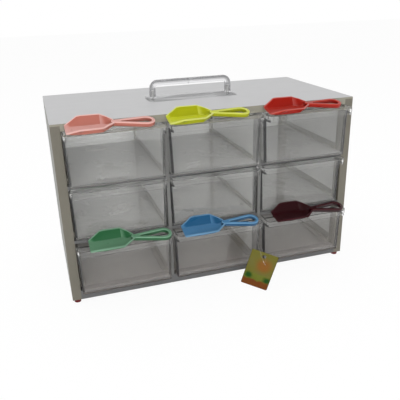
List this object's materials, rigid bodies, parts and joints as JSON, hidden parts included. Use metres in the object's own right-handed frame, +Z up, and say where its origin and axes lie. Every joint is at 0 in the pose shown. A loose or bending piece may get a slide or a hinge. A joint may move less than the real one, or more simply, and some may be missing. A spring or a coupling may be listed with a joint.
{
  "type": "drawer storage cabinet",
  "caption": "Tabletop cabinet with clear pull-out drawers in rows and columns, a clear carry handle on top and small scoops that lie on the drawers' ledges.",
  "frame": {"origin": "middle of the cabinet's footprint, on the table that its feet stand on", "axes": "+X along the cabinet's width to the right, +Y from the drawers to the back, +Z up"},
  "size_m": [0.46, 0.3049, 0.3071],
  "materials": {
    "frame_cream": "fine moulded texture",
    "panel_grey": "smooth sheet",
    "panel_white": "smooth sheet",
    "runner_cream": "extruded",
    "clear_plastic": "clear, moulded",
    "foot_red": "moulded",
    "screw_steel": "plated",
    "scoop_pink": "moulded",
    "scoop_yellow": "moulded",
    "scoop_red": "moulded",
    "scoop_green": "moulded",
    "scoop_blue": "moulded",
    "scoop_maroon": "moulded",
    "tag_card": "printed card",
    "loop_clear": "nylon"
  },
  "bodies": {
    "cabinet": {"top_panel": "panel_white", "bottom_panel": "panel_grey", "back_panel": "panel_grey", "fascia": "frame_cream", "bottom_rail": "frame_cream", "mid_rail_lower": "frame_cream", "mid_rail_upper": "frame_cream", "side_panel_left": "panel_grey", "divider_panel_left": "panel_grey", "front_post_left": "frame_cream", "front_divider_left": "frame_cream", "rear_post_left": "frame_cream", "rear_divider_left": "frame_cream", "side_panel_right": "panel_grey", "divider_panel_right": "panel_grey", "front_post_right": "frame_cream", "front_divider_right": "frame_cream", "rear_post_right": "frame_cream", "rear_divider_right": "frame_cream", "runners_c_1": "runner_cream", "runners_c_2": "runner_cream", "runners_c_3": "runner_cream", "runners_b_1": "runner_cream", "runners_b_2": "runner_cream", "runners_b_3": "runner_cream", "runners_a_1": "runner_cream", "runners_a_2": "runner_cream", "runners_a_3": "runner_cream", "foot_front_left": "foot_red", "foot_front_right": "foot_red", "foot_rear_left": "foot_red", "foot_rear_right": "foot_red", "foot_screws": "screw_steel", "handle_plate": "clear_plastic", "handle_grip": "clear_plastic", "handle_screws": "screw_steel"},
    "drawer_c_1": {"drawer_c_1": "clear_plastic"},
    "drawer_c_2": {"drawer_c_2": "clear_plastic"},
    "drawer_c_3": {"drawer_c_3": "clear_plastic"},
    "drawer_b_1": {"drawer_b_1": "clear_plastic"},
    "drawer_b_2": {"drawer_b_2": "clear_plastic"},
    "drawer_b_3": {"drawer_b_3": "clear_plastic"},
    "drawer_a_1": {"drawer_a_1": "clear_plastic"},
    "drawer_a_2": {"drawer_a_2": "clear_plastic"},
    "drawer_a_3": {"drawer_a_3": "clear_plastic"},
    "scoop_pink": {"scoop_pink": "scoop_pink"},
    "scoop_yellow": {"scoop_yellow": "scoop_yellow"},
    "scoop_red": {"scoop_red": "scoop_red"},
    "scoop_green": {"scoop_green": "scoop_green"},
    "scoop_blue": {"scoop_blue": "scoop_blue"},
    "scoop_maroon": {"scoop_maroon": "scoop_maroon"},
    "tag": {"tag": "tag_card", "tag_loop": "loop_clear"}
  },
  "joints": [
    {"name": "drawer_c_1_slide", "type": "slide", "parent": "cabinet", "child": "drawer_c_1", "axis": [0, -1, 0], "range_m": [0, 0.165]},
    {"name": "drawer_c_2_slide", "type": "slide", "parent": "cabinet", "child": "drawer_c_2", "axis": [0, -1, 0], "range_m": [0, 0.165]},
    {"name": "drawer_c_3_slide", "type": "slide", "parent": "cabinet", "child": "drawer_c_3", "axis": [0, -1, 0], "range_m": [0, 0.165]},
    {"name": "drawer_b_1_slide", "type": "slide", "parent": "cabinet", "child": "drawer_b_1", "axis": [0, -1, 0], "range_m": [0, 0.165]},
    {"name": "drawer_b_2_slide", "type": "slide", "parent": "cabinet", "child": "drawer_b_2", "axis": [0, -1, 0], "range_m": [0, 0.165]},
    {"name": "drawer_b_3_slide", "type": "slide", "parent": "cabinet", "child": "drawer_b_3", "axis": [0, -1, 0], "range_m": [0, 0.165]},
    {"name": "drawer_a_1_slide", "type": "slide", "parent": "cabinet", "child": "drawer_a_1", "axis": [0, -1, 0], "range_m": [0, 0.165]},
    {"name": "drawer_a_2_slide", "type": "slide", "parent": "cabinet", "child": "drawer_a_2", "axis": [0, -1, 0], "range_m": [0, 0.165]},
    {"name": "drawer_a_3_slide", "type": "slide", "parent": "cabinet", "child": "drawer_a_3", "axis": [0, -1, 0], "range_m": [0, 0.165]},
    {"name": "scoop_pink_lift", "type": "slide", "parent": "drawer_a_1", "child": "scoop_pink", "axis": [0, -0.6, 0.8], "range_m": [0, 0.08]},
    {"name": "scoop_yellow_lift", "type": "slide", "parent": "drawer_a_2", "child": "scoop_yellow", "axis": [0, -0.6, 0.8], "range_m": [0, 0.08]},
    {"name": "scoop_red_lift", "type": "slide", "parent": "drawer_a_3", "child": "scoop_red", "axis": [0, -0.6, 0.8], "range_m": [0, 0.08]},
    {"name": "scoop_green_push", "type": "slide", "parent": "drawer_c_1", "child": "scoop_green", "axis": [0, -1, 0], "range_m": [0, 0.165]},
    {"name": "scoop_blue_push", "type": "slide", "parent": "drawer_c_2", "child": "scoop_blue", "axis": [0, -1, 0], "range_m": [0, 0.165]},
    {"name": "scoop_maroon_push", "type": "slide", "parent": "drawer_c_3", "child": "scoop_maroon", "axis": [0, -1, 0], "range_m": [0, 0.165]},
    {"name": "tag_swing", "type": "hinge", "parent": "scoop_blue", "child": "tag", "pos_m": [0.0486, -0.14746, 0.10281], "axis": [-1, 0, 0], "range_deg": [0, 50]}
  ],
  "couplings": [
    {"joint": "scoop_green_push", "follows": "drawer_b_1_slide", "ratio": 1},
    {"joint": "scoop_blue_push", "follows": "drawer_b_2_slide", "ratio": 1},
    {"joint": "scoop_maroon_push", "follows": "drawer_b_3_slide", "ratio": 1}
  ]
}
